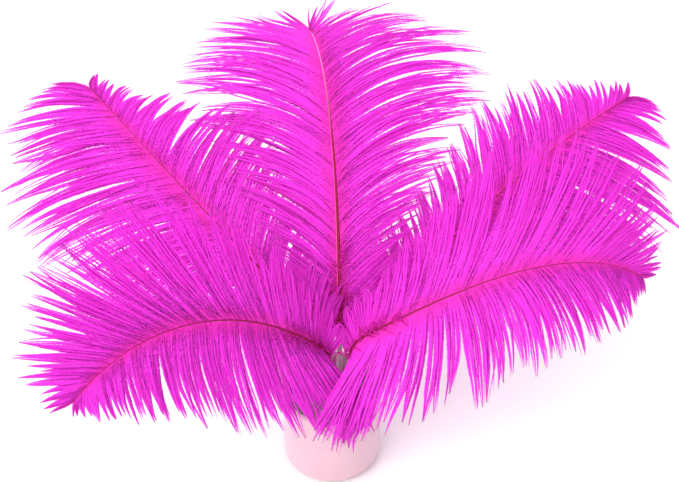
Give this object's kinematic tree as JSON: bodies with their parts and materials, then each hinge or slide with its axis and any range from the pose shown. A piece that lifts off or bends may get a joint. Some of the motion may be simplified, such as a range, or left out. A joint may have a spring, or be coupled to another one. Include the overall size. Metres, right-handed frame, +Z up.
{
  "type": "ostrich plume arrangement",
  "caption": "Hot-pink dyed ostrich plumes fanned out of a small pale-pink glazed cup, each quill standing in a foam plug and free to pull out",
  "frame": {"origin": "centre of the cup's flat underside, on the surface that it stands on", "axes": "+Z up; the fan of plumes faces -Y and is widest along X; +X is to the right of somebody facing it"},
  "size_m": [0.4976, 0.3583, 0.2732],
  "materials": {
    "glazed_cup": "gloss",
    "foam": "matte",
    "dyed_shaft": "satin",
    "dyed_barbs": "matte",
    "dyed_down": "matte"
  },
  "bodies": {
    "cup": {"cup": "glazed_cup"},
    "foam": {"foam_plug": "foam"},
    "back_plume": {"back_shaft": "dyed_shaft", "back_left_vane": "dyed_barbs", "back_right_vane": "dyed_barbs", "back_down": "dyed_down"},
    "upper_left_plume": {"upper_left_shaft": "dyed_shaft", "upper_left_left_vane": "dyed_barbs", "upper_left_right_vane": "dyed_barbs", "upper_left_down": "dyed_down"},
    "upper_right_plume": {"upper_right_shaft": "dyed_shaft", "upper_right_left_vane": "dyed_barbs", "upper_right_right_vane": "dyed_barbs", "upper_right_down": "dyed_down"},
    "lower_left_plume": {"lower_left_shaft": "dyed_shaft", "lower_left_left_vane": "dyed_barbs", "lower_left_right_vane": "dyed_barbs", "lower_left_down": "dyed_down"},
    "lower_right_plume": {"lower_right_shaft": "dyed_shaft", "lower_right_left_vane": "dyed_barbs", "lower_right_right_vane": "dyed_barbs", "lower_right_down": "dyed_down"}
  },
  "joints": [
    {"name": "foam_lift", "type": "slide", "parent": "cup", "child": "foam", "axis": [0, 0, 1], "range_m": [0, 0.063]},
    {"name": "back_pull", "type": "slide", "parent": "foam", "child": "back_plume", "axis": [0.003, 0.0871, 0.9962], "range_m": [0, 0.025]},
    {"name": "upper_left_pull", "type": "slide", "parent": "foam", "child": "upper_left_plume", "axis": [-0.0856, 0.06, 0.9945], "range_m": [0, 0.025]},
    {"name": "upper_right_pull", "type": "slide", "parent": "foam", "child": "upper_right_plume", "axis": [0.0824, 0.0644, 0.9945], "range_m": [0, 0.025]},
    {"name": "lower_left_pull", "type": "slide", "parent": "foam", "child": "lower_left_plume", "axis": [-0.0694, -0.0073, 0.9976], "range_m": [0, 0.025]},
    {"name": "lower_right_pull", "type": "slide", "parent": "foam", "child": "lower_right_plume", "axis": [0.0698, 0, 0.9976], "range_m": [0, 0.025]}
  ]
}
